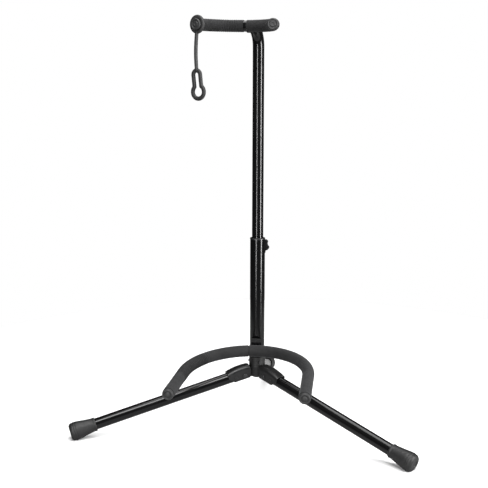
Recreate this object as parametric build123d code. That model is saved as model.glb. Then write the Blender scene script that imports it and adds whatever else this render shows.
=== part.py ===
from build123d import *
import math
import os

# Folding tripod guitar stand: three legs hinged on a hub, a two-part mast that
# slides and turns, a foam-covered cradle for the body and a foam-covered yoke
# with a rubber strap for the neck.
# Millimetres, +Z up, floor at z = 0, the guitar side is -Y, left is -X.
# Everything is drawn with the mast's axis at x = y = 0 and then moved by MAST_X and
# MAST_Y, which puts the origin on the floor under the centre of the stand's footprint.

# ---------------------------------------------------------------- sizes
MAST_X = 7.7
MAST_Y = -59.5

# mast
LOWER_R = 12.5
LOWER_BORE_R = 11.3
LOWER_BOTTOM_Z = 104.0
LOWER_TOP_Z = 323.5
UPPER_R = 9.5
UPPER_WALL = 1.2
UPPER_BOTTOM_Z = 238.0
RUNNING = 0.08

# neck yoke
YOKE_Z = 672.0
YOKE_TURN = -8.7
YOKE_LEAN = 0.8
YOKE_BASE_Y = -63.0
YOKE_R = 61.0
YOKE_ARC = 76.5
YOKE_ROD_R = 4.75
POST_BEND_R = 30.0
NECK_TAB_W = 5.0
NECK_TAB_H = 17.0
YOKE_GAP = 6.0

# cradle
CRADLE_Z = 133.3
CRADLE_Y = -18.9
CRADLE_TILT = 6.5
CRADLE_LEAN = -1.8
CRADLE_R = 102.0
CRADLE_ARC = 87.0
CRADLE_ARM = 85.0
CRADLE_ROD_R = 6.0
CRADLE_SEAM_X = -11.0
SADDLE_Y = -9.2
SADDLE_TOP_Z = 157.5
SADDLE_BOTTOM_Z = 121.5

# foam sleeves and end caps
FOAM_R = 9.4
CAP_RIM_R = 8.9
CAP_HEAD_R = 8.7
CAP_NECK_R = 6.2
CAP_NECK_START = 4.4
CAP_HEAD_START = 9.6

# hub
COLLAR_R = 13.7
COLLAR_BOTTOM_Z = 102.0
COLLAR_TOP_Z = 120.0
COLLAR_BANDS = (104.4, 107.2, 114.6)
COLLAR_SCREW_Z = 111.2
COLLAR_SCREW_ANGLES = (62.0, 182.0, 302.0)
CAP_BOTTOM_Z = 83.0
HUB_CORE_R = 9.6
RIB_CAP_R = 12.6

# legs
LEG_DIRECTIONS = {"front_left": 206.0, "front_right": 328.0, "rear": 95.5}
LEG_SLOPE = 14.85
LEG_APEX_Z = 97.0
LEG_R = 9.5
LEG_WALL = 1.2
LEG_START = 36.0
FOOT_RADIUS = 322.0
PIN_ALONG = 25.5
PIN_DROP = 2.0
PIN_R = 2.5
PIN_CLEARANCE = 0.05
RIVET_ALONG = 41.5
RIVET_R = 1.6
RIVET_DROP = 1.5
LUG_HALF_W = 9.1
LUG_WEB_HALF_W = 5.0
LUG_H = 17.0
LUG_NOSE_R = 6.0
BRACKET_IN_R = 9.6
BRACKET_T = 1.6
BRACKET_START = 13.4
BRACKET_END = 54.0
BRACKET_HUMP = 14.4
BRACKET_HUMP_X = 29.0
BRACKET_HUMP_R = 98.0
BRACKET_CORNER_R = 6.5
BRACKET_SKIRT = 7.4
BOOT_LENGTH = 44.0
BOOT_MOUTH_R = 11.2
BOOT_R = 15.4

# height clamp
CLAMP_Z = 307.5
SCREW_R = 3.0
KNOB_R = 15.5
KNOB_LOBES = 7

# neck strap
STRAP_T = 4.6
STRAP_ROD_R = 2.8
STRAP_EYE_W = 27.4
STRAP_EYE_H = 29.0
STRAP_OFFSET = 4.7
SLOT_TOP = (-0.3, -74.6)
KEYHOLE = (3.0, -103.0)
KEYHOLE_R = 13.9
KEYHOLE_IN_R = 6.2
KEYHOLE_RISE = 4.2
SLOT_W = 20.2
SLOT_IN_W = 5.8

leg_u = Vector(math.cos(math.radians(LEG_SLOPE)), 0, -math.sin(math.radians(LEG_SLOPE)))
leg_n = Vector(math.sin(math.radians(LEG_SLOPE)), 0, math.cos(math.radians(LEG_SLOPE)))
leg_apex = Vector(0, 0, LEG_APEX_Z)
leg_end = FOOT_RADIUS / leg_u.X
pin_centre = leg_apex + leg_u * PIN_ALONG - leg_n * PIN_DROP
rivet_centre = leg_apex + leg_u * RIVET_ALONG - leg_n * RIVET_DROP


# ---------------------------------------------------------------- helpers
def rod_z(radius, z0, z1, x=0.0, y=0.0):
    """A round bar along Z from z0 to z1."""
    return Pos(x, y, (z0 + z1) / 2) * Cylinder(radius, z1 - z0)


def rod_y(radius, y0, y1, x=0.0, z=0.0):
    """A round bar along Y from y0 to y1."""
    return Pos(x, (y0 + y1) / 2, z) * Rot(90, 0, 0) * Cylinder(radius, y1 - y0)


def tube_z(outer, inner, z0, z1):
    """A round tube along Z."""
    return rod_z(outer, z0, z1) - rod_z(inner, z0 - 1, z1 + 1)


def swept(path, radius, inner=0.0):
    """A round bar, or a tube if inner is given, along a path."""
    start = Plane(origin=path @ 0, z_dir=path % 0)
    bar = sweep(start * Circle(radius), path)
    return bar - sweep(start * Circle(inner), path) if inner else bar


def on_leg(along):
    """The plane across a leg's axis at a distance along it, with its y towards the leg's top."""
    return Plane(origin=leg_apex + leg_u * along, x_dir=(0, 1, 0), z_dir=leg_u)


def save(name, part, turn=0.0):
    """Write one node, turned about the mast's axis and moved to the part's frame."""
    placed = Pos(MAST_X, MAST_Y, 0) * Rot(0, 0, turn) * part
    placed.label = name
    export_step(placed, f"parts/{name}.step")


# ---------------------------------------------------------------- lower mast
def lower_tube():
    """Steel tube with a flat saddle pressed into its front for the cradle bar."""
    outside = rod_z(LOWER_R, LOWER_BOTTOM_Z, LOWER_TOP_Z)
    bore = rod_z(LOWER_BORE_R, LOWER_BOTTOM_Z - 1, LOWER_TOP_Z + 1)
    wall = LOWER_R - LOWER_BORE_R
    flat_w = 2 * LOWER_R
    ramp = 5.0
    profile = [
        (SADDLE_Y, SADDLE_BOTTOM_Z + ramp),
        (SADDLE_Y, SADDLE_TOP_Z - ramp),
        (-LOWER_R - 1, SADDLE_TOP_Z + 2),
        (-LOWER_R - 1, SADDLE_BOTTOM_Z - 2),
    ]
    notch = extrude(Plane.YZ * make_face(Polyline(profile, close=True)), flat_w, both=True)
    inner_profile = [(y + wall, z) for y, z in profile]
    inner_profile[2] = (-LOWER_R - 1, SADDLE_TOP_Z + 2 + wall)
    inner_profile[3] = (-LOWER_R - 1, SADDLE_BOTTOM_Z - 2 - wall)
    inner = extrude(Plane.YZ * make_face(Polyline(inner_profile, close=True)), flat_w, both=True)
    tube = (outside - notch) - (bore - inner)
    bolt_hole = rod_y(SCREW_R, -LOWER_R - 1, LOWER_R + 1, z=CRADLE_Z)
    clamp_hole = rod_y(SCREW_R + 0.3, 0, LOWER_R + 1, z=CLAMP_Z)
    return tube - bolt_hole - clamp_hole


def mast_collar():
    """Plastic bush in the top of the lower tube; its rim covers the tube's edge."""
    rim = rod_z(LOWER_R + 0.3, LOWER_TOP_Z, LOWER_TOP_Z + 2.6)
    rim = fillet(rim.edges().group_by(Axis.Z)[-1], 0.9)
    sleeve = rod_z(LOWER_BORE_R, LOWER_TOP_Z - 25, LOWER_TOP_Z)
    bush = rim + sleeve - rod_z(UPPER_R + RUNNING, LOWER_TOP_Z - 26, LOWER_TOP_Z + 4)
    return bush - rod_y(SCREW_R + 0.3, 0, LOWER_R + 1, z=CLAMP_Z)


def clamp_boss():
    """Threaded block behind the mast that the clamp knob's screw runs in."""
    block = Box(19, 12, 26)
    block = fillet(block.edges().filter_by(Axis.Y), 3.0)
    block = Pos(0, 15.2, CLAMP_Z - 0.3) * block
    block = chamfer(block.faces().sort_by(Axis.Y)[-1].edges(), 0.8)
    block -= rod_z(LOWER_R, CLAMP_Z - 20, CLAMP_Z + 20)
    return block - rod_y(SCREW_R + PIN_CLEARANCE, 0, 30, z=CLAMP_Z)


def clamp_knob():
    """Lobed hand knob on the clamp screw."""
    y0 = 22.0
    lobe_r = 3.8
    grip = Circle(KNOB_R - 2.6)
    for i in range(KNOB_LOBES):
        angle = 14 + 360 / KNOB_LOBES * i
        grip += Rot(0, 0, angle) * Pos(KNOB_R - lobe_r, 0) * Circle(lobe_r)
    grip = fillet(grip.vertices(), 1.5)
    body = extrude(Plane(origin=(0, y0, CLAMP_Z), z_dir=(0, 1, 0), x_dir=(1, 0, 0)) * grip, 11)
    body = chamfer(body.faces().sort_by(Axis.Y)[-1].edges(), 1.1)
    hub = rod_y(8.0, y0 + 10, y0 + 14.5, z=CLAMP_Z)
    hub = fillet(hub.edges().group_by(Axis.Y)[-1], 1.5)
    return body + hub - rod_y(SCREW_R, y0 - 1, y0 + 10, z=CLAMP_Z)


def knob_screw():
    """Screw moulded into the knob; its pad presses on the upper tube."""
    shank = rod_y(SCREW_R, 10.6, 32.0, z=CLAMP_Z)
    return chamfer(shank.edges().group_by(Axis.Y)[0], 0.6)


# ---------------------------------------------------------------- hub
def leg_hub():
    """Moulded hub: a banded collar round the mast over a core with three hinge lugs."""
    collar = rod_z(COLLAR_R, COLLAR_BOTTOM_Z, COLLAR_TOP_Z)
    collar = fillet(collar.edges().group_by(Axis.Z)[-1], 1.2)
    for z in COLLAR_BANDS:
        collar -= tube_z(COLLAR_R + 1, COLLAR_R - 0.5, z, z + 1.1)
    collar -= rod_z(LOWER_R, LOWER_BOTTOM_Z, COLLAR_TOP_Z + 1)
    core = rod_z(HUB_CORE_R, CAP_BOTTOM_Z + 4, LOWER_BOTTOM_Z)
    core -= rod_z(1.6, CAP_BOTTOM_Z, LOWER_BOTTOM_Z - 4)
    hub = collar + core
    web = Box(pin_centre.X, 2 * LUG_WEB_HALF_W, LUG_H)
    web = Pos(pin_centre.X / 2, 0, COLLAR_BOTTOM_Z - LUG_H / 2) * web
    corner = Pos(pin_centre.X + 4, 0, COLLAR_BOTTOM_Z + 4) * Rot(0, 45, 0) * Box(14, 20, 14)
    barrel = Pos(*pin_centre) * Rot(90, 0, 0) * Cylinder(LUG_NOSE_R, 2 * LUG_HALF_W)
    lug = web - corner + barrel
    lug -= Pos(*pin_centre) * Rot(90, 0, 0) * Cylinder(PIN_R + PIN_CLEARANCE, 30)
    for angle in LEG_DIRECTIONS.values():
        hub += Rot(0, 0, angle) * (lug - rod_z(HUB_CORE_R - 1, 60, 120))
    for angle in COLLAR_SCREW_ANGLES:
        hub -= Rot(0, 0, angle) * Pos(COLLAR_R, 0, COLLAR_SCREW_Z) * Rot(0, 90, 0) * Cylinder(1.5, 10)
    return hub


def hub_cap():
    """Ribbed cup that closes the hub from below, slotted where the lugs come out."""
    outside = [(0, CAP_BOTTOM_Z), (7.5, CAP_BOTTOM_Z), (RIB_CAP_R - 0.6, CAP_BOTTOM_Z + 3.2)]
    outside += [(RIB_CAP_R - 0.6, COLLAR_BOTTOM_Z), (0, COLLAR_BOTTOM_Z)]
    cup = revolve(Plane.XZ * make_face(Polyline(outside, close=True)), Axis.Z)
    for i in range(36):
        rib = rod_z(0.7, CAP_BOTTOM_Z + 3.2, COLLAR_BOTTOM_Z, x=RIB_CAP_R - 0.7)
        cup += Rot(0, 0, 10 * i) * rib
    cup -= rod_z(HUB_CORE_R, CAP_BOTTOM_Z + 4, COLLAR_BOTTOM_Z + 1)
    cup -= rod_z(1.7, CAP_BOTTOM_Z - 1, CAP_BOTTOM_Z + 5)
    cup -= rod_z(3.4, CAP_BOTTOM_Z - 1, CAP_BOTTOM_Z + 1.6)
    slot = Pos(20, 0, COLLAR_BOTTOM_Z - LUG_H / 2) * Box(40, 2 * LUG_WEB_HALF_W + 0.4, LUG_H + 0.4)
    for angle in LEG_DIRECTIONS.values():
        cup -= Rot(0, 0, angle) * slot
    return cup


def hub_screw():
    """Pan-head screw that holds the ribbed cap to the hub's core."""
    shank = rod_z(1.6, CAP_BOTTOM_Z + 1.6, CAP_BOTTOM_Z + 14)
    head = rod_z(3.3, CAP_BOTTOM_Z - 0.4, CAP_BOTTOM_Z + 1.6)
    head = fillet(head.edges().group_by(Axis.Z)[0], 0.8)
    head -= Pos(0, 0, CAP_BOTTOM_Z - 0.4) * Box(4.2, 0.9, 1.6)
    head -= Pos(0, 0, CAP_BOTTOM_Z - 0.4) * Box(0.9, 4.2, 1.6)
    return shank + head


def collar_screws():
    """Three round-head screws that pin the collar to the mast."""
    shank = Rot(0, 90, 0) * Cylinder(1.5, 3.0)
    head = Rot(0, 90, 0) * Cylinder(2.3, 1.4)
    screw = Pos(COLLAR_R - 0.6, 0, COLLAR_SCREW_Z) * shank + Pos(COLLAR_R + 0.7, 0, COLLAR_SCREW_Z) * head
    screw -= rod_z(LOWER_R, COLLAR_BOTTOM_Z, COLLAR_TOP_Z)
    return Compound([Rot(0, 0, angle) * screw for angle in COLLAR_SCREW_ANGLES])


# ---------------------------------------------------------------- cradle
def bent_arm(radius, arc, arm, side, first=0.0):
    """Half of a U-shaped bar's centre line, an arc from `first` degrees on and a straight end."""
    bend = CenterArc((0, -radius), radius, 90 - side * first, -side * (arc - first))
    heading = Vector(side * math.cos(math.radians(arc)), -math.sin(math.radians(arc)))
    return Wire([bend, Line(bend @ 1, bend @ 1 + heading * arm)])


def on_cradle(part):
    """Moves a part from the cradle's own plane to its place on the mast."""
    return Pos(0, CRADLE_Y, CRADLE_Z) * Rot(0, CRADLE_LEAN, 0) * Rot(CRADLE_TILT, 0, 0) * part


def end_plane(side, radius, arc, arm):
    """The plane across the end of a U-shaped bar, facing out of it."""
    path = bent_arm(radius, arc, arm, side)
    return Plane(origin=path @ 1, x_dir=(0, 0, 1), z_dir=path % 1)


def cradle_rod():
    """Steel tube bent to a U, drilled where it is bolted to the mast."""
    halves = [bent_arm(CRADLE_R, CRADLE_ARC, CRADLE_ARM, side) for side in (-1, 1)]
    rod = Part() + [swept(path, CRADLE_ROD_R, CRADLE_ROD_R - 1.5) for path in halves]
    return on_cradle(rod) - rod_y(4.0, CRADLE_Y, CRADLE_Y + 10, z=CRADLE_Z)


def cradle_sleeve(side):
    """Foam tube over one side of the cradle; the right one also covers the bolt."""
    first = math.degrees(math.asin(side * CRADLE_SEAM_X / CRADLE_R))
    path = bent_arm(CRADLE_R, CRADLE_ARC, CRADLE_ARM, side, first + 0.15)
    sleeve = on_cradle(swept(path, FOAM_R, CRADLE_ROD_R))
    return sleeve - rod_y(6.4, CRADLE_Y, CRADLE_Y + 12, z=CRADLE_Z)


def cradle_cap(side):
    """Round end plug with a raised ring and a centre button."""
    plane = end_plane(side, CRADLE_R, CRADLE_ARC, CRADLE_ARM)
    stem = extrude(plane * Circle(CRADLE_ROD_R - 1.5), -12)
    head = extrude(plane * Circle(FOAM_R), 4.2)
    far = plane.offset(4.2)
    rims = head.edges().filter_by(GeomType.CIRCLE)
    head = fillet(rims.sort_by(lambda rim: (rim @ 0 - far.origin).length)[0], 1.6)
    head -= extrude(far * (Circle(6.2) - Circle(3.4)), -1.2)
    return on_cradle(stem + head)


def cradle_spacer():
    """Saddle washer between the mast's pressed flat and the cradle's tube."""
    washer = rod_y(6.0, CRADLE_Y, SADDLE_Y, z=CRADLE_Z)
    washer -= on_cradle(Rot(0, 90, 0) * Cylinder(CRADLE_ROD_R, 30))
    washer = washer.solids().sort_by(Axis.Y)[-1]
    return washer - rod_y(SCREW_R, -30, 0, z=CRADLE_Z)


def cradle_insert():
    """Threaded insert riveted into the cradle's tube."""
    insert = rod_y(4.0, CRADLE_Y - 1, CRADLE_Y + 5.2, z=CRADLE_Z)
    insert &= on_cradle(Rot(0, 90, 0) * Cylinder(CRADLE_ROD_R, 30))
    return insert - rod_y(SCREW_R, CRADLE_Y - 2, CRADLE_Y + 6, z=CRADLE_Z)


def cradle_bolt():
    """Dome-head bolt from the back of the mast into the cradle's insert."""
    shank = rod_y(SCREW_R, CRADLE_Y - 1, LOWER_R + 1.5, z=CRADLE_Z)
    head = rod_y(5.6, LOWER_R + 1.2, LOWER_R + 4.6, z=CRADLE_Z)
    head = fillet(head.edges().group_by(Axis.Y)[-1], 2.2)
    socket = extrude(Plane.XZ * Pos(0, CRADLE_Z) * RegularPolygon(2.2, 6), -30)
    return shank + (head - (socket & rod_y(3, LOWER_R + 2.8, LOWER_R + 6, z=CRADLE_Z)))


def cradle_washer():
    """Curved washer that seats the bolt's head on the round back of the mast."""
    washer = rod_y(7.0, 8, LOWER_R + 1.2, z=CRADLE_Z) - rod_z(LOWER_R, 110, 150)
    return washer - rod_y(SCREW_R, 0, 30, z=CRADLE_Z)


# ---------------------------------------------------------------- legs
def leg_tube():
    """Steel leg tube from inside its bracket to inside its boot."""
    length = leg_end - 5 - LEG_START
    plane = on_leg(LEG_START)
    tube = extrude(plane * (Circle(LEG_R) - Circle(LEG_R - LEG_WALL)), length)
    return tube - Pos(*rivet_centre) * Rot(90, 0, 0) * Cylinder(RIVET_R, 40)


def bracket_body(inset, reach):
    """The channel's outline seen from the side, humped over the pin, with its top edges rounded."""
    start, end, low = BRACKET_START - reach, BRACKET_END + reach, -BRACKET_SKIRT - 4 * reach
    sides = [(start, BRACKET_HUMP), (end, BRACKET_HUMP), (end, 1), (end - 8.4 * (1 - reach), low)]
    sides += [(start + 4 * (1 - reach), low), (start, 3)]
    crown = Pos(BRACKET_HUMP_X, BRACKET_HUMP - BRACKET_HUMP_R) * Circle(BRACKET_HUMP_R - inset)
    side_view = Plane(origin=leg_apex, x_dir=leg_u, z_dir=(0, -1, 0))
    outline = make_face(Polyline(sides, close=True)) & crown
    body = extrude(side_view * outline, BRACKET_IN_R + BRACKET_T - inset, both=True)
    ridges = body.edges().filter_by(lambda edge: edge.geom_type == GeomType.CIRCLE)
    return fillet(ridges, BRACKET_CORNER_R - inset)


def leg_bracket():
    """Stamped channel, open below, that carries the leg on the hub's lug."""
    bracket = bracket_body(0, 0) - bracket_body(BRACKET_T, 1)
    bracket -= Pos(*pin_centre) * Rot(90, 0, 0) * Cylinder(PIN_R, 60)
    return bracket - Pos(*rivet_centre) * Rot(90, 0, 0) * Cylinder(RIVET_R, 60)


def headed_pin(radius, head_r, head_t):
    """A pin along Y with a domed head outside each side of a leg bracket."""
    face = BRACKET_IN_R + BRACKET_T
    pin = rod_y(radius, -face, face)
    for side in (-1, 1):
        head = Pos(0, side * (face + head_t / 2), 0) * Rot(90, 0, 0) * Cylinder(head_r, head_t)
        outer = head.edges().filter_by(GeomType.CIRCLE).sort_by(lambda e: -abs((e @ 0).Y))[0]
        pin += fillet(outer, head_t * 0.6)
    return pin


def pivot_pin():
    """Hinge pin through the hub's lug, headed on both sides of the bracket."""
    return Pos(*pin_centre) * headed_pin(PIN_R, 3.8, 1.8)


def leg_rivet():
    """Rivet that fastens the leg tube in its bracket."""
    return Pos(*rivet_centre) * headed_pin(RIVET_R, 2.8, 1.2)


def leg_boot():
    """Rubber boot on the leg's end, flat where it stands on the floor."""
    end = leg_end
    outline = [(end, 0), (end, 10.4), (end - 1.6, 13.0), (end - 5, BOOT_R - 0.5)]
    outline += [(end - 9, BOOT_R), (end - 14, BOOT_R - 0.3), (end - BOOT_LENGTH, BOOT_MOUTH_R)]
    outline += [(end - BOOT_LENGTH, LEG_R), (end - 5, LEG_R), (end - 5, 0)]
    plane = Plane(origin=leg_apex, x_dir=leg_u, z_dir=(0, -1, 0))
    boot = revolve(plane * make_face(Polyline(outline, close=True)), Axis(leg_apex, leg_u))
    floor_cut = Pos(FOOT_RADIUS, 0, -20) * Box(200, 200, 40)
    return boot - floor_cut


# ---------------------------------------------------------------- upper mast and neck yoke
def guide_plug():
    """Plastic plug that guides the upper tube's foot in the lower tube."""
    plug = rod_z(LOWER_BORE_R - RUNNING, UPPER_BOTTOM_Z - 12, UPPER_BOTTOM_Z - 0.3)
    plug = chamfer(plug.edges().group_by(Axis.Z)[0], 1.0)
    return plug + rod_z(UPPER_R - UPPER_WALL - RUNNING, UPPER_BOTTOM_Z - 2, UPPER_BOTTOM_Z + 14)


def on_yoke(part):
    """Moves a part from the yoke's own plane to its place at the top of the mast."""
    return Pos(0, YOKE_BASE_Y, YOKE_Z) * Rot(0, YOKE_LEAN, 0) * part


def upper_tube():
    """Steel tube bent forward at the top, its end crimped flat round the yoke's rod."""
    crimp_y = -43.0
    tab_y = -54.0
    foot = Line((0, 0, UPPER_BOTTOM_Z), (0, 0, YOKE_Z - POST_BEND_R))
    bend = ThreePointArc(
        foot @ 1,
        (0, POST_BEND_R * (math.sqrt(0.5) - 1), YOKE_Z - POST_BEND_R * (1 - math.sqrt(0.5))),
        (0, -POST_BEND_R, YOKE_Z),
    )
    path = Wire([foot, bend, Line(bend @ 1, (0, crimp_y, YOKE_Z))])
    tube = swept(path, UPPER_R, UPPER_R - UPPER_WALL)
    round_end = Plane(origin=(0, crimp_y, YOKE_Z), x_dir=(1, 0, 0), z_dir=(0, -1, 0))
    flat_end = Plane(origin=(0, tab_y, YOKE_Z), x_dir=(1, 0, 0), z_dir=(0, -1, 0))
    oval = RectangleRounded(NECK_TAB_W, NECK_TAB_H + 3, NECK_TAB_W / 2 - 0.05)
    crimp = loft([round_end * Circle(UPPER_R), flat_end * oval])
    tab = Pos(0, (tab_y + YOKE_BASE_Y) / 2, YOKE_Z) * Box(NECK_TAB_W, tab_y - YOKE_BASE_Y, NECK_TAB_H)
    tab += Pos(0, YOKE_BASE_Y, YOKE_Z) * Rot(0, 90, 0) * Cylinder(NECK_TAB_H / 2, NECK_TAB_W)
    return tube + crimp + tab - yoke_rod()


def yoke_rod():
    """Steel rod bent to the U that takes the guitar's neck."""
    halves = [bent_arm(YOKE_R, YOKE_ARC, CAP_HEAD_START, side) for side in (-1, 1)]
    return on_yoke(Part() + [swept(path, YOKE_ROD_R) for path in halves])


def yoke_sleeve(side):
    """Foam tube over one arm of the yoke."""
    first = math.degrees(math.asin(YOKE_GAP / 2 / YOKE_R))
    path = CenterArc((0, -YOKE_R), YOKE_R, 90 - side * first, -side * (YOKE_ARC - first))
    return on_yoke(swept(Wire([path]), FOAM_R, YOKE_ROD_R))


def yoke_cap(side):
    """Rubber knob on the arm's end: a rim against the foam, the strap's neck and a flat head."""
    plane = end_plane(side, YOKE_R, YOKE_ARC, 0.001)
    start = CAP_HEAD_START
    outline = [(0.2, 0), (0.2, CAP_RIM_R), (CAP_NECK_START, CAP_RIM_R), (CAP_NECK_START, CAP_NECK_R)]
    outline += [(start, CAP_NECK_R), (start, CAP_HEAD_R - 0.6), (start + 0.6, CAP_HEAD_R)]
    outline += [(start + 2.4, CAP_HEAD_R), (start + 3.4, CAP_HEAD_R - 1.2), (start + 3.4, 0)]
    half = Plane(origin=plane.origin, x_dir=plane.z_dir, z_dir=plane.x_dir)
    knob = revolve(half * make_face(Polyline(outline, close=True)), Axis(plane.origin, plane.z_dir))
    return on_yoke(knob - extrude(plane * Circle(YOKE_ROD_R), CAP_HEAD_START, both=True))


def strap_plane():
    """The plane of the hanging strap: x to the right, y up, centred on the left arm's axis."""
    end = end_plane(-1, YOKE_R, YOKE_ARC, 0.001)
    across = Vector(0, 0, 1).cross(end.z_dir)
    return Plane(origin=end.origin + end.z_dir * STRAP_OFFSET, x_dir=across, z_dir=end.z_dir)


def neck_strap():
    """Moulded rubber strap: an eye round the left cap's neck, a cord and a keyhole loop."""
    plane = strap_plane()
    eye = Ellipse(STRAP_EYE_W / 2, STRAP_EYE_H / 2) - Circle(CAP_NECK_R + RUNNING)
    slot_axis = Line(SLOT_TOP, KEYHOLE)
    outer = SlotCenterToCenter(slot_axis.length, SLOT_W)
    inner = SlotCenterToCenter(slot_axis.length, SLOT_IN_W)
    tilt = math.degrees(math.atan2(KEYHOLE[1] - SLOT_TOP[1], KEYHOLE[0] - SLOT_TOP[0]))
    middle = slot_axis @ 0.5
    place = Pos(middle.X, middle.Y) * Rot(0, 0, tilt)
    loop = place * outer + Pos(*KEYHOLE) * Circle(KEYHOLE_R)
    loop = loop - place * inner - Pos(KEYHOLE[0], KEYHOLE[1] + KEYHOLE_RISE) * Circle(KEYHOLE_IN_R)
    flat = extrude(plane * eye, STRAP_T) + extrude(plane * loop, STRAP_T)
    mid = plane.offset(STRAP_T / 2)
    cord = ThreePointArc((0, -STRAP_EYE_H / 2 + 2), (-1.9, -42), (-0.5, SLOT_TOP[1] + SLOT_W / 2 - 2))
    return on_yoke(flat + swept(Wire([mid * cord]), STRAP_ROD_R))


# ---------------------------------------------------------------- write the nodes
os.makedirs("parts", exist_ok=True)

save("lower_tube", lower_tube())
save("mast_collar", mast_collar())
save("clamp_boss", clamp_boss())
save("clamp_knob", clamp_knob())
save("knob_screw", knob_screw())
save("leg_hub", leg_hub())
save("hub_cap", hub_cap())
save("hub_screw", hub_screw())
save("collar_screws", collar_screws())
save("cradle_rod", cradle_rod())
save("cradle_sleeve_left", cradle_sleeve(-1))
save("cradle_sleeve_right", cradle_sleeve(1))
save("cradle_cap_left", cradle_cap(-1))
save("cradle_cap_right", cradle_cap(1))
save("cradle_spacer", cradle_spacer())
save("cradle_insert", cradle_insert())
save("cradle_bolt", cradle_bolt())
save("cradle_washer", cradle_washer())

leg_parts = {
    "leg_tube": leg_tube(),
    "leg_bracket": leg_bracket(),
    "pivot_pin": pivot_pin(),
    "leg_rivet": leg_rivet(),
    "leg_boot": leg_boot(),
}
for leg, direction in LEG_DIRECTIONS.items():
    for name, part in leg_parts.items():
        save(f"{name}_{leg}", part, turn=direction)

save("guide_plug", guide_plug())
save("upper_tube", upper_tube(), turn=YOKE_TURN)
save("yoke_rod", yoke_rod(), turn=YOKE_TURN)
save("yoke_sleeve_left", yoke_sleeve(-1), turn=YOKE_TURN)
save("yoke_sleeve_right", yoke_sleeve(1), turn=YOKE_TURN)
save("yoke_cap_left", yoke_cap(-1), turn=YOKE_TURN)
save("yoke_cap_right", yoke_cap(1), turn=YOKE_TURN)
save("neck_strap", neck_strap(), turn=YOKE_TURN)
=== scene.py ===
import math
import bmesh
import bpy
from mathutils import Matrix, Vector, noise


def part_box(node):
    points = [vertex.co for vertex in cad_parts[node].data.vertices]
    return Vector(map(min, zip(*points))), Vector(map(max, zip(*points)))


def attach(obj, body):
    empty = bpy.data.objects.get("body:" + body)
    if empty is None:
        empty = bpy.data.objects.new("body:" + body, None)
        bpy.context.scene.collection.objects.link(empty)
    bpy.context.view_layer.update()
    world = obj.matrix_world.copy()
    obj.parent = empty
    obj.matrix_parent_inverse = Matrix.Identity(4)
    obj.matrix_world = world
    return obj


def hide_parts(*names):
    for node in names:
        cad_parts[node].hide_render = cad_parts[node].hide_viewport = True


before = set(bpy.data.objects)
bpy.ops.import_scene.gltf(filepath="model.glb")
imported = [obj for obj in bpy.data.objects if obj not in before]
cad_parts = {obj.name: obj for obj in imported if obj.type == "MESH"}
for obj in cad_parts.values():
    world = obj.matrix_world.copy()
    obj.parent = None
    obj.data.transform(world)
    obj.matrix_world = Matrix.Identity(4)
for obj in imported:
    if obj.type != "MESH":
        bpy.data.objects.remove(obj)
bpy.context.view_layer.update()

# The looks of a folding tubular guitar stand: enamelled tubes and stamped brackets from the
# CAD frame, with foam, rubber and moulded pieces built here. Metres, +Z up, guitar side -Y.

MM = 0.001


# ---------------------------------------------------------------- places, read from the frame
def middle(node):
    low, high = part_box(node)
    return (low + high) / 2


mast = middle("lower_tube")
MAST_X, MAST_Y = mast.x, mast.y
CRADLE_Z = middle("cradle_bolt").z
YOKE_Z = middle("yoke_rod").z
YOKE_TURN, YOKE_LEAN = math.radians(-8.7), math.radians(0.8)

# sizes shared with the CAD design, in metres
FOAM_R = 9.4 * MM
CRADLE_FOAM_SWELL = 1.035
CRADLE_FORWARD = 18.9 * MM
CRADLE_TILT, CRADLE_LEAN = math.radians(6.5), math.radians(-1.8)
CRADLE_R, CRADLE_ARC, CRADLE_ARM = 102 * MM, math.radians(87), 85 * MM
CRADLE_SEAM = 11 * MM
CRADLE_ROD_R = 6 * MM
YOKE_FORWARD = 63 * MM
YOKE_R, YOKE_ARC = 61 * MM, math.radians(76.5)
YOKE_ROD_R = 4.75 * MM
YOKE_GAP = 6 * MM
CAP_NECK_R = 6.2 * MM
CAP_RIM_R = 8.9 * MM
CAP_HEAD_R = 8.7 * MM
CAP_NECK_START = 4.4 * MM
CAP_HEAD_START = 9.6 * MM
STRAP_MIDDLE = 7.0 * MM
LEG_SLOPE = math.radians(14.85)
LEG_APEX_Z = 97 * MM
FOOT_RADIUS = 322 * MM
LEG_R = 9.5 * MM
BOOT_LENGTH = 44 * MM
LEGS = {"front_left": 206, "front_right": 328, "rear": 95.5}

# the studio: light that the surroundings and the floor give back, and where the floor lies
ROOM_LIGHT = 0.05
FLOOR_BOUNCE = 0.4
FLOOR_SHOWN = 0.9
FLOOR_R = 0.8
STRIP_LEFT_AZIMUTH, STRIP_RIGHT_AZIMUTH = -11, 72

# how finely round pieces are built
LATHE_SEGMENTS = 96
FOAM_SEGMENTS = 72
SECTION_SEGMENTS = 20
CORNER_STEPS = 4

TO_MAST = Matrix.Translation((MAST_X, MAST_Y, 0))
TO_YOKE = TO_MAST @ Matrix.Rotation(YOKE_TURN, 4, "Z") @ Matrix.Translation((0, -YOKE_FORWARD, YOKE_Z))
TO_YOKE = TO_YOKE @ Matrix.Rotation(YOKE_LEAN, 4, "Y")
TO_CRADLE = TO_MAST @ Matrix.Translation((0, -CRADLE_FORWARD, CRADLE_Z))
TO_CRADLE = TO_CRADLE @ Matrix.Rotation(CRADLE_LEAN, 4, "Y") @ Matrix.Rotation(CRADLE_TILT, 4, "X")


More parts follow.
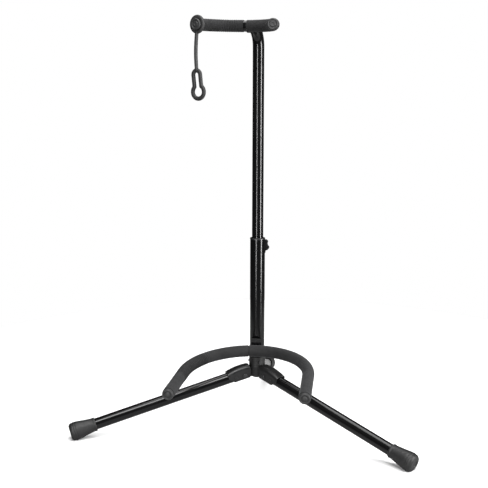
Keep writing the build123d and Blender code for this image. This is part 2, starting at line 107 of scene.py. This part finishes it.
# ---------------------------------------------------------------- camera, floor and light
def make_camera():
    """Front view from 10 degrees to the right and 10 degrees down, about 1.6 m from the mast."""
    azimuth, pitch, roll = math.radians(10.4), math.radians(9.6), math.radians(0.15)
    away, aside, height = 1.6007, -0.023, 0.5857
    data = bpy.data.cameras.new("camera")
    data.sensor_width = 36
    data.lens = 70.74
    data.dof.use_dof = False
    camera = bpy.data.objects.new("camera", data)
    bpy.context.scene.collection.objects.link(camera)
    turn = Matrix.Rotation(azimuth, 4, "Z")
    place = TO_MAST @ turn @ Matrix.Translation((aside, -away, height))
    place = place @ Matrix.Rotation(math.pi / 2 - pitch, 4, "X")
    camera.matrix_world = place @ Matrix.Rotation(roll, 4, "Z")
    bpy.context.scene.camera = camera


def area_light(name, location, target, size, power):
    """A soft rectangular light that faces a point; size is (across, tall)."""
    data = bpy.data.lights.new(name, "AREA")
    data.shape = "RECTANGLE"
    data.size, data.size_y = size
    data.energy = power
    light = bpy.data.objects.new(name, data)
    light.location = location
    aim = Vector(target) - Vector(location)
    light.rotation_euler = aim.to_track_quat("-Z", "Y").to_euler()
    bpy.context.scene.collection.objects.link(light)


def around(azimuth, distance, height):
    """A place round the mast; azimuth 0 is in front, towards the camera, and 90 is to its right."""
    a = math.radians(azimuth)
    return (MAST_X + distance * math.sin(a), MAST_Y - distance * math.cos(a), height)


def make_floor():
    """A pale round of floor, smaller than the views, that gives back less light than it shows."""
    bm = bmesh.new()
    bmesh.ops.create_circle(bm, cap_ends=True, segments=96, radius=FLOOR_R)
    mesh = bpy.data.meshes.new("floor")
    bm.to_mesh(mesh)
    bm.free()
    floor = bpy.data.objects.new("floor", mesh)
    floor.location = (MAST_X, MAST_Y + 0.15, 0)
    bpy.context.scene.collection.objects.link(floor)
    material = bpy.data.materials.new("studio_floor")
    material.use_nodes = True
    nodes, links = material.node_tree.nodes, material.node_tree.links
    shader = nodes["Principled BSDF"]
    shader.inputs["Roughness"].default_value = 0.9
    shader.inputs["Specular IOR Level"].default_value = 0.0
    ray = nodes.new("ShaderNodeLightPath")
    mix = nodes.new("ShaderNodeMix")
    mix.data_type = "RGBA"
    mix.inputs["A"].default_value = (*[FLOOR_BOUNCE] * 3, 1)
    mix.inputs["B"].default_value = (*[FLOOR_SHOWN] * 3, 1)
    links.new(ray.outputs["Is Camera Ray"], mix.inputs["Factor"])
    links.new(mix.outputs["Result"], shader.inputs["Base Color"])
    mesh.materials.append(material)


def make_world():
    """White behind the stand for the camera, and dim surroundings for everything else."""
    world = bpy.data.worlds.new("studio")
    bpy.context.scene.world = world
    world.use_nodes = True
    nodes, links = world.node_tree.nodes, world.node_tree.links
    backdrop = nodes["Background"]
    backdrop.inputs["Color"].default_value = (1, 1, 1, 1)
    backdrop.inputs["Strength"].default_value = 1.0
    room = nodes.new("ShaderNodeBackground")
    room.inputs["Color"].default_value = (1, 1, 1, 1)
    room.inputs["Strength"].default_value = ROOM_LIGHT
    ray = nodes.new("ShaderNodeLightPath")
    mix = nodes.new("ShaderNodeMixShader")
    links.new(ray.outputs["Is Camera Ray"], mix.inputs["Fac"])
    links.new(room.outputs["Background"], mix.inputs[1])
    links.new(backdrop.outputs["Background"], mix.inputs[2])
    links.new(mix.outputs["Shader"], nodes["World Output"].inputs["Surface"])


def make_stage():
    """Floor, surroundings and softboxes of a small product studio."""
    make_floor()
    make_world()
    chest = (MAST_X, MAST_Y, 0.4)
    area_light("strip_left", around(STRIP_LEFT_AZIMUTH, 2.3, 0.7), chest, (0.26, 1.9), 46)
    area_light("strip_right", around(STRIP_RIGHT_AZIMUTH, 2.2, 0.7), chest, (0.34, 1.9), 92)
    area_light("overhead", around(8, 1.2, 2.2), (MAST_X, MAST_Y, 0.1), (1.5, 0.8), 55)
    area_light("top_light", (MAST_X, MAST_Y + 0.4, 2.6), (MAST_X, MAST_Y + 0.15, 0), (1.6, 1.6), 52)
    bpy.context.scene.view_settings.view_transform = "Standard"
    bpy.context.scene.view_settings.look = "None"
    bpy.context.scene.view_settings.exposure = 0.0


# ---------------------------------------------------------------- materials
class Material:
    """A node material on one Principled shader, built up by small named steps."""

    def __init__(self, name, color, roughness, specular=0.5, metallic=0.0):
        self.material = bpy.data.materials.new(name)
        self.material.use_nodes = True
        self.nodes = self.material.node_tree.nodes
        self.links = self.material.node_tree.links
        self.shader = self.nodes["Principled BSDF"]
        self.shader.inputs["Base Color"].default_value = (*color, 1)
        self.shader.inputs["Roughness"].default_value = roughness
        self.shader.inputs["Specular IOR Level"].default_value = specular
        self.shader.inputs["Metallic"].default_value = metallic
        self.place = self.nodes.new("ShaderNodeTexCoord").outputs["Object"]
        self.height = None

    def noise(self, scale, detail=4.0, rough=0.6, stretch=(1, 1, 1)):
        """A noise pattern in metres of the object, optionally stretched along an axis."""
        mapping = self.nodes.new("ShaderNodeMapping")
        mapping.inputs["Scale"].default_value = stretch
        texture = self.nodes.new("ShaderNodeTexNoise")
        texture.inputs["Scale"].default_value = scale
        texture.inputs["Detail"].default_value = detail
        texture.inputs["Roughness"].default_value = rough
        self.links.new(self.place, mapping.inputs["Vector"])
        self.links.new(mapping.outputs["Vector"], texture.inputs["Vector"])
        return texture.outputs["Fac"]

    def cells(self, scale):
        """A cell pattern, for foam pores."""
        texture = self.nodes.new("ShaderNodeTexVoronoi")
        texture.inputs["Scale"].default_value = scale
        self.links.new(self.place, texture.inputs["Vector"])
        return texture.outputs["Distance"]

    def spread(self, value, low, high, start=0.3, end=0.7):
        """Maps a pattern's start to end on low to high."""
        node = self.nodes.new("ShaderNodeMapRange")
        node.inputs["From Min"].default_value = start
        node.inputs["From Max"].default_value = end
        node.inputs["To Min"].default_value = low
        node.inputs["To Max"].default_value = high
        self.links.new(value, node.inputs["Value"])
        return node.outputs["Result"]

    def tint(self, value, dark, light):
        """Colours the surface between two colours by a pattern."""
        mix = self.nodes.new("ShaderNodeMix")
        mix.data_type = "RGBA"
        mix.inputs["A"].default_value = (*dark, 1)
        mix.inputs["B"].default_value = (*light, 1)
        self.links.new(value, mix.inputs["Factor"])
        self.links.new(mix.outputs["Result"], self.shader.inputs["Base Color"])

    def rough(self, value):
        """Varies the surface's roughness by a pattern."""
        self.links.new(value, self.shader.inputs["Roughness"])

    def bump(self, value, distance, strength=1.0):
        """Adds a layer of bump, distance in metres, over the layers before it."""
        node = self.nodes.new("ShaderNodeBump")
        node.inputs["Distance"].default_value = distance
        node.inputs["Strength"].default_value = strength
        self.links.new(value, node.inputs["Height"])
        if self.height is not None:
            self.links.new(self.height, node.inputs["Normal"])
        self.height = node.outputs["Normal"]
        self.links.new(self.height, self.shader.inputs["Normal"])

    def edges(self, radius):
        """How far the surface bends within a small distance, for wear along edges."""
        bevel = self.nodes.new("ShaderNodeBevel")
        bevel.samples = 4
        bevel.inputs["Radius"].default_value = radius
        geometry = self.nodes.new("ShaderNodeNewGeometry")
        dot = self.nodes.new("ShaderNodeVectorMath")
        dot.operation = "DOT_PRODUCT"
        self.links.new(bevel.outputs["Normal"], dot.inputs[0])
        self.links.new(geometry.outputs["Normal"], dot.inputs[1])
        return self.spread(dot.outputs["Value"], 1.0, 0.0, 0.75, 0.99)


def enamel():
    """Gloss black stove enamel: slight orange peel, faint handling marks."""
    m = Material("gloss_black_enamel", (0.003, 0.003, 0.0032), 0.16, specular=0.3)
    m.tint(m.spread(m.noise(9, 5), 0, 1), (0.0015, 0.0015, 0.0016), (0.0045, 0.0045, 0.0047))
    m.rough(m.spread(m.noise(60, 6, 0.7, (1, 1, 0.25)), 0.13, 0.20))
    m.bump(m.noise(900, 2), 0.00002, 0.25)
    return m.material


def stamped_paint():
    """Satin black paint on stamped steel, a little coarser and worn at its edges."""
    m = Material("satin_black_paint", (0.008, 0.008, 0.0083), 0.34, specular=0.4)
    m.tint(m.edges(0.0005), (0.006, 0.006, 0.0063), (0.035, 0.035, 0.036))
    m.rough(m.spread(m.noise(120, 6, 0.7), 0.28, 0.44))
    m.bump(m.noise(700, 3), 0.00004, 0.4)
    return m.material


def black_steel():
    """Blackened steel fasteners with light catching on their worn heads."""
    m = Material("blackened_steel", (0.05, 0.05, 0.052), 0.35, metallic=0.9)
    m.tint(m.spread(m.noise(500, 5), 0, 1), (0.03, 0.03, 0.031), (0.08, 0.08, 0.082))
    m.rough(m.spread(m.noise(900, 4), 0.25, 0.45))
    m.bump(m.noise(1500, 2), 0.00003, 0.3)
    return m.material


def moulded_plastic():
    """Matt black moulded nylon with a fine spark-eroded grain."""
    m = Material("matt_black_nylon", (0.008, 0.008, 0.008), 0.5, specular=0.35)
    m.tint(m.edges(0.0004), (0.006, 0.006, 0.006), (0.024, 0.024, 0.0245))
    m.rough(m.spread(m.noise(300, 5), 0.42, 0.6))
    m.bump(m.noise(2500, 4, 0.7), 0.00004, 0.5)
    return m.material


def knob_plastic():
    """Semi-gloss black plastic of the knob and the collar's bush."""
    m = Material("semi_gloss_plastic", (0.01, 0.01, 0.0105), 0.3, specular=0.5)
    m.tint(m.edges(0.0004), (0.008, 0.008, 0.0085), (0.03, 0.03, 0.031))
    m.rough(m.spread(m.noise(200, 5), 0.24, 0.4))
    m.bump(m.noise(1800, 3), 0.00003, 0.35)
    return m.material


def foam():
    """Black closed-cell foam tube: a fine open skin of pores, greyer where it is rubbed."""
    m = Material("black_foam", (0.010, 0.010, 0.0103), 0.85, specular=0.2)
    m.shader.inputs["Sheen Weight"].default_value = 0.12
    m.shader.inputs["Sheen Roughness"].default_value = 0.5
    m.shader.inputs["Sheen Tint"].default_value = (0.6, 0.6, 0.62, 1)
    m.tint(m.spread(m.noise(30, 6, 0.65), 0, 1), (0.0075, 0.0075, 0.0077), (0.0135, 0.0135, 0.0138))
    m.rough(m.spread(m.noise(150, 5), 0.72, 0.92))
    m.bump(m.cells(1400), 0.0001, 0.55)
    m.bump(m.noise(450, 5, 0.7), 0.00018, 0.35)
    return m.material


def rubber(name, dark, light):
    """Matt moulded rubber with a fine grain and a dusty bloom."""
    m = Material(name, dark, 0.55, specular=0.45)
    m.tint(m.spread(m.noise(70, 6, 0.7), 0, 1, 0.35, 0.75), dark, light)
    m.rough(m.spread(m.noise(250, 5), 0.44, 0.66))
    m.bump(m.noise(1600, 4, 0.7), 0.00005, 0.5)
    return m.material


# ---------------------------------------------------------------- mesh helpers
def add_mesh(name, bm, material):
    """Turns a bmesh into a smooth object of the scene with one material."""
    bmesh.ops.recalc_face_normals(bm, faces=bm.faces)
    mesh = bpy.data.meshes.new(name)
    bm.to_mesh(mesh)
    bm.free()
    mesh.materials.append(material)
    for face in mesh.polygons:
        face.use_smooth = True
    piece = bpy.data.objects.new(name, mesh)
    bpy.context.scene.collection.objects.link(piece)
    return piece


def ring_frames(points, closed):
    """For each point of a path, its place, its side and its upward direction across the path."""
    frames = []
    count = len(points)
    for i, point in enumerate(points):
        before = points[i - 1] if i or closed else point
        after = points[(i + 1) % count] if i + 1 < count or closed else point
        heading = (after - before).normalized()
        side = heading.cross(Vector((0, 0, 1))).normalized()
        frames.append((point, side, side.cross(heading).normalized()))
    return frames


def skin(bm, rings, close_path=False):
    """Joins rings of points into a tube, with its ends capped or joined to each other."""
    loops = [[bm.verts.new(p) for p in ring] for ring in rings]
    n = len(loops[0])
    pairs = list(zip(loops, loops[1:]))
    if close_path:
        pairs.append((loops[-1], loops[0]))
    for a, b in pairs:
        for k in range(n):
            bm.faces.new((a[k], a[(k + 1) % n], b[(k + 1) % n], b[k]))
    if not close_path:
        bm.faces.new(loops[0])
        bm.faces.new(loops[-1])


def lathe(name, outline, place, material):
    """Turns an outline of (along, radius) points about local Z."""
    bm = bmesh.new()
    rings = []
    for along, radius in outline:
        ring = []
        for k in range(LATHE_SEGMENTS):
            a = 2 * math.pi * k / LATHE_SEGMENTS
            ring.append(Vector((radius * math.cos(a), radius * math.sin(a), along)))
        rings.append(ring)
    skin(bm, rings)
    bmesh.ops.transform(bm, matrix=place, verts=bm.verts)
    return add_mesh(name, bm, material)


def rounded(points, radius):
    """Rounds the corners of an outline with short arcs, never longer than half a side."""
    out = [points[0]]
    for before, corner, after in zip(points, points[1:], points[2:]):
        a, c, b = Vector(before), Vector(corner), Vector(after)
        cut = min(radius, (a - c).length * 0.45, (b - c).length * 0.45)
        start, end = c + (a - c).normalized() * cut, c + (b - c).normalized() * cut
        for i in range(CORNER_STEPS + 1):
            t = i / CORNER_STEPS
            out.append(tuple(start * (1 - t) ** 2 + c * 2 * t * (1 - t) + end * t * t))
    out.append(points[-1])
    return out


def facing(origin, direction):
    """A frame at a point whose Z looks along a direction."""
    return Matrix.Translation(origin) @ Vector(direction).to_track_quat("Z", "Y").to_matrix().to_4x4()


# ---------------------------------------------------------------- foam sleeves
def arm_point(radius, arc, along, side):
    """A point on a U-bar's centre line, measured along it from its middle, and its heading angle."""
    if along <= radius * arc:
        a = along / radius
        return Vector((side * radius * math.sin(a), -radius * (1 - math.cos(a)), 0)), a
    rest = along - radius * arc
    corner = Vector((side * radius * math.sin(arc), -radius * (1 - math.cos(arc)), 0))
    return corner + Vector((side * math.cos(arc), -math.sin(arc), 0)) * rest, arc


def foam_sleeve(name, node, body, place, radius, arc, start, end, side, rod_r, creases, seed):
    """A foam tube bent over a bar. It creases across on the inside of its bend, bulges a little
    between the creases, and its cut ends are slightly rounded."""
    length = end - start
    steps = max(60, int(length / 0.00045))
    crease_from, crease_to, crease_depth, pitch = creases
    foam_r = FOAM_R * (CRADLE_FOAM_SWELL if body == "mast" else 1.0)
    bm = bmesh.new()
    rings = []
    for i in range(steps + 1):
        along = start + length * i / steps
        point, heading = arm_point(radius, arc, abs(along), side if along >= 0 else -side)
        if along < 0:
            heading = -heading
        forward = Vector((side * math.cos(heading), -math.sin(heading), 0))
        inward = Vector((-side * math.sin(heading), -math.cos(heading), 0))
        edge = min(i, steps - i) * length / steps
        roll = 1 - 0.09 * max(0.0, 1 - edge / 0.0016) ** 2
        fade = max(0.0, min(1.0, (along - crease_from) / 0.012, (crease_to - along) / 0.012))
        ring = []
        for k in range(FOAM_SEGMENTS):
            a = 2 * math.pi * k / FOAM_SEGMENTS
            c, s = math.cos(a), math.sin(a)
            out = inward * c + Vector((0, 0, 1)) * s
            wander = 0.5 * noise.noise(Vector((c * 1.5, s * 1.5, along * 60 + seed)))
            wave = math.cos(2 * math.pi * (along / pitch + wander))
            crease = crease_depth * fade * (0.6 + 0.4 * c) * (wave - 0.3)
            lump = 0.00014 * noise.noise(Vector((along * 90 + seed, c * 2, s * 2)))
            streak = 0.00012 * noise.noise(Vector((c * 7, s * 7, along * 9 + seed)))
            r = foam_r * roll + crease + lump + streak
            ring.append(point + out * r)
        rings.append(ring)
    rings = [end_ring(rings[0], start, radius, arc, side, rod_r)] + rings
    rings.append(end_ring(rings[-1], end, radius, arc, side, rod_r))
    skin(bm, rings)
    bmesh.ops.transform(bm, matrix=place, verts=bm.verts)
    piece = add_mesh(name, bm, FOAM)
    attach(piece, body)
    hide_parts(node)


def end_ring(ring, along, radius, arc, side, rod_r):
    """The ring where a sleeve's cut end meets the bar inside it."""
    centre = arm_point(radius, arc, abs(along), side if along >= 0 else -side)[0]
    return [centre + (p - centre).normalized() * rod_r for p in ring]


def make_sleeves():
    """The four foam tubes; creases are (from, to, depth, pitch) along the bar."""
    total = CRADLE_R * CRADLE_ARC + CRADLE_ARM
    seam = CRADLE_R * math.asin(CRADLE_SEAM / CRADLE_R)
    bend = CRADLE_R * CRADLE_ARC
    left = (bend * 0.55, bend + 0.030, 0.00085, 0.0036)
    right = (bend * 0.60, bend + 0.012, 0.00030, 0.0036)
    foam_sleeve("cradle_foam_left", "cradle_sleeve_left", "mast", TO_CRADLE, CRADLE_R, CRADLE_ARC,
                seam + 0.0002, total, -1, CRADLE_ROD_R, left, 3.1)
    foam_sleeve("cradle_foam_right", "cradle_sleeve_right", "mast", TO_CRADLE, CRADLE_R, CRADLE_ARC,
                -seam + 0.0002, total, 1, CRADLE_ROD_R, right, 7.7)
    reach = YOKE_R * YOKE_ARC
    creases = (YOKE_GAP, reach - 0.004, 0.00045, 0.0030)
    for side, word in ((-1, "left"), (1, "right")):
        foam_sleeve("yoke_foam_" + word, "yoke_sleeve_" + word, "yoke_post", TO_YOKE, YOKE_R,
                    YOKE_ARC, YOKE_GAP / 2, reach, side, YOKE_ROD_R, creases, 11.0 + side)


# ---------------------------------------------------------------- rubber caps, boots and strap
def make_yoke_caps():
    """Rubber knobs: a rim against the foam, a neck for the strap and a head with a ringed face."""
    n, s, r = CAP_NECK_START, CAP_HEAD_START, CAP_HEAD_R
    outline = [(0.0003, 0), (0.0003, CAP_RIM_R), (n, CAP_RIM_R), (n, CAP_NECK_R), (s, CAP_NECK_R)]
    outline += [(s, r - 0.0004), (s + 0.0008, r), (s + 0.0022, r), (s + 0.0034, r - 0.0011)]
    outline += [(s + 0.0034, r - 0.0022), (s + 0.0024, r - 0.0028), (s + 0.0024, r - 0.0041)]
    outline += [(s + 0.0033, r - 0.0047), (s + 0.0034, 0.0024), (s + 0.0029, 0.0016), (s + 0.0029, 0)]
    for side, word in ((-1, "left"), (1, "right")):
        point, heading = arm_point(YOKE_R, YOKE_ARC, YOKE_R * YOKE_ARC, side)
        forward = Vector((side * math.cos(heading), -math.sin(heading), 0))
        place = TO_YOKE @ facing(point, forward)
        piece = lathe("yoke_ball_" + word, rounded(outline, 0.0009), place, CAP_RUBBER)
        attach(piece, "yoke_post")
        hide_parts("yoke_cap_" + word)


def make_cradle_caps():
    """Round rubber plugs in the cradle's ends: a rolled rim, a groove and a domed button."""
    outline = [(-0.0004, 0), (-0.0004, 0.0088), (0.0006, 0.0091), (0.0030, 0.0091), (0.0042, 0.0080)]
    outline += [(0.0043, 0.0064), (0.0032, 0.0060), (0.0031, 0.0046), (0.0040, 0.0041), (0.0048, 0.0026)]
    outline += [(0.0050, 0.0010), (0.0050, 0)]
    total = CRADLE_R * CRADLE_ARC + CRADLE_ARM
    for side, word in ((-1, "left"), (1, "right")):
        point, heading = arm_point(CRADLE_R, CRADLE_ARC, total, side)
        forward = Vector((side * math.cos(heading), -math.sin(heading), 0))
        place = TO_CRADLE @ facing(point, forward)
        piece = lathe("cradle_plug_" + word, rounded(outline, 0.0008), place, CAP_RUBBER)
        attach(piece, "mast")
        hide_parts("cradle_cap_" + word)


def make_boots():
    """Rubber boots with a rolled mouth that stands off the tube, two grooves near the tip, and a
    flat pressed by the floor."""
    end = FOOT_RADIUS / math.cos(LEG_SLOPE)
    outline = [(-0.0385, 0.0096), (-0.0385, 0.0103), (-BOOT_LENGTH, 0.0104), (-0.0442, 0.0110)]
    outline += [(-0.0428, 0.0117), (-0.0412, 0.0117), (-0.0400, 0.0112), (-0.0300, 0.0124), (-0.0140, 0.0150)]
    outline += [(-0.0112, 0.0152), (-0.0106, 0.0146), (-0.0100, 0.0153), (-0.0074, 0.0153)]
    outline += [(-0.0068, 0.0146), (-0.0062, 0.0150), (-0.0036, 0.0146), (-0.0012, 0.0128)]
    outline += [(0.0, 0.0102), (-0.0002, 0.0060), (-0.0010, 0.0052), (-0.0010, 0)]
    outline = rounded(outline, 0.0008)
    for leg, direction in LEGS.items():
        turn = TO_MAST @ Matrix.Rotation(math.radians(direction), 4, "Z")
        tip = Vector((FOOT_RADIUS, 0, LEG_APEX_Z - FOOT_RADIUS * math.tan(LEG_SLOPE)))
        heading = Vector((math.cos(LEG_SLOPE), 0, -math.sin(LEG_SLOPE)))
        piece = lathe("boot_" + leg, outline, turn @ facing(tip, heading), BOOT_RUBBER)
        for vertex in piece.data.vertices:
            if vertex.co.z < 0.0:
                vertex.co.z = 0.0
        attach(piece, "leg_" + leg)
        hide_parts("leg_boot_" + leg)


def section_tube(bm, path, across, thick, closed):
    """A bar of oval section along a path in the strap's plane: across in the plane, thick out of it."""
    rings = []
    for point, side, up in ring_frames(path, closed):
        ring = []
        for k in range(SECTION_SEGMENTS):
            a = 2 * math.pi * k / SECTION_SEGMENTS
            c, s = math.cos(a), math.sin(a)
            bulge = (abs(c) ** 2.6 + abs(s) ** 2.6) ** (-1 / 2.6)
            ring.append(point + side * across * c * bulge + up * thick * s * bulge)
        rings.append(ring)
    skin(bm, rings, close_path=closed)


def make_strap():
    """The moulded rubber strap: eye, link and keyhole loop, fused and softened into one moulding."""
    bm = bmesh.new()
    eye_w, eye_h = 0.0103, 0.0111
    eye = []
    for k in range(96):
        a = 2 * math.pi * k / 96
        eye.append(Vector((eye_w * math.cos(a), eye_h * math.sin(a), 0)))
    section_tube(bm, eye, 0.0033, 0.0023, True)
    link_top, link_end = -0.0120, -0.0710
    link = []
    for k in range(61):
        t = k / 60
        bow = -0.0017 * math.sin(math.pi * t) - 0.0009 * (1 - t)
        link.append(Vector((bow - 0.0005 * t, link_top + (link_end - link_top) * t, 0)))
    section_tube(bm, link, 0.0028, 0.0026, False)
    top, hole = Vector((-0.0004, -0.0764, 0)), Vector((0.0030, -0.1028, 0))
    down = (hole - top).normalized()
    right = Vector((-down.y, down.x, 0))
    slot_w, hole_w = 0.0064, 0.0104
    open_a = math.asin(slot_w / hole_w)
    loop = []
    for k in range(25):
        a = math.pi * k / 24
        loop.append(top + right * slot_w * math.cos(a) - down * slot_w * math.sin(a))
    straight = (hole - top).length - hole_w * math.cos(open_a)
    for k in range(1, 24):
        loop.append(top - right * slot_w + down * straight * k / 24)
    for k in range(57):
        a = math.pi + open_a + (2 * math.pi - 2 * open_a) * k / 56
        loop.append(hole + right * hole_w * math.sin(a) + down * hole_w * math.cos(a))
    for k in range(23, 0, -1):
        loop.append(top + right * slot_w + down * straight * k / 24)
    section_tube(bm, loop, 0.0034, 0.0023, True)
    point, heading = arm_point(YOKE_R, YOKE_ARC, YOKE_R * YOKE_ARC, -1)
    forward = Vector((-math.cos(heading), -math.sin(heading), 0))
    across = Vector((0, 0, 1)).cross(forward)
    place = Matrix((across, Vector((0, 0, 1)), forward)).transposed().to_4x4()
    place.translation = point + forward * STRAP_MIDDLE
    bmesh.ops.transform(bm, matrix=TO_YOKE @ place, verts=bm.verts)
    strap = add_mesh("rubber_strap", bm, STRAP_RUBBER)
    remesh = strap.modifiers.new("fuse", "REMESH")
    remesh.mode = "VOXEL"
    remesh.voxel_size = 0.00045
    soften = strap.modifiers.new("soften", "SMOOTH")
    soften.factor = 0.5
    soften.iterations = 6
    apply_modifiers(strap)
    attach(strap, "neck_strap")
    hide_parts("neck_strap")


def apply_modifiers(piece):
    """Replaces a piece's mesh with the one its modifiers give."""
    graph = bpy.context.evaluated_depsgraph_get()
    mesh = bpy.data.meshes.new_from_object(piece.evaluated_get(graph))
    piece.modifiers.clear()
    piece.data = mesh
    for face in mesh.polygons:
        face.use_smooth = True


# ---------------------------------------------------------------- CAD nodes
def finish_cad(name, material):
    """Gives a CAD node its material and smooth shading with crisp edges."""
    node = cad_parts[name]
    node.data.materials.clear()
    node.data.materials.append(material)
    node.data.shade_smooth()
    node.data.set_sharp_from_angle(angle=math.radians(32))


def dress_cad():
    """Gives every CAD node that stays visible its material."""
    finishes = [
        (ENAMEL, ("lower_tube", "upper_tube")),
        (KNOB_PLASTIC, ("mast_collar", "clamp_knob")),
        (NYLON, ("clamp_boss", "leg_hub", "hub_cap", "guide_plug")),
        (STEEL, ("knob_screw", "hub_screw", "collar_screws", "cradle_bolt", "cradle_washer")),
        (STEEL, ("cradle_insert", "cradle_spacer")),
        (PAINT, ("cradle_rod", "yoke_rod")),
    ]
    for material, names in finishes:
        for name in names:
            finish_cad(name, material)
    for leg in LEGS:
        finish_cad("leg_tube_" + leg, ENAMEL)
        finish_cad("leg_bracket_" + leg, PAINT)
        finish_cad("pivot_pin_" + leg, STEEL)
        finish_cad("leg_rivet_" + leg, PAINT)


make_camera()
make_stage()
ENAMEL = enamel()
PAINT = stamped_paint()
STEEL = black_steel()
NYLON = moulded_plastic()
KNOB_PLASTIC = knob_plastic()
FOAM = foam()
CAP_RUBBER = rubber("cap_rubber", (0.010, 0.010, 0.0102), (0.018, 0.018, 0.0184))
BOOT_RUBBER = rubber("boot_rubber", (0.0025, 0.0025, 0.0026), (0.0065, 0.0065, 0.0067))
STRAP_RUBBER = rubber("strap_rubber", (0.009, 0.009, 0.0092), (0.017, 0.017, 0.0174))
dress_cad()
make_sleeves()
make_yoke_caps()
make_cradle_caps()
make_boots()
make_strap()
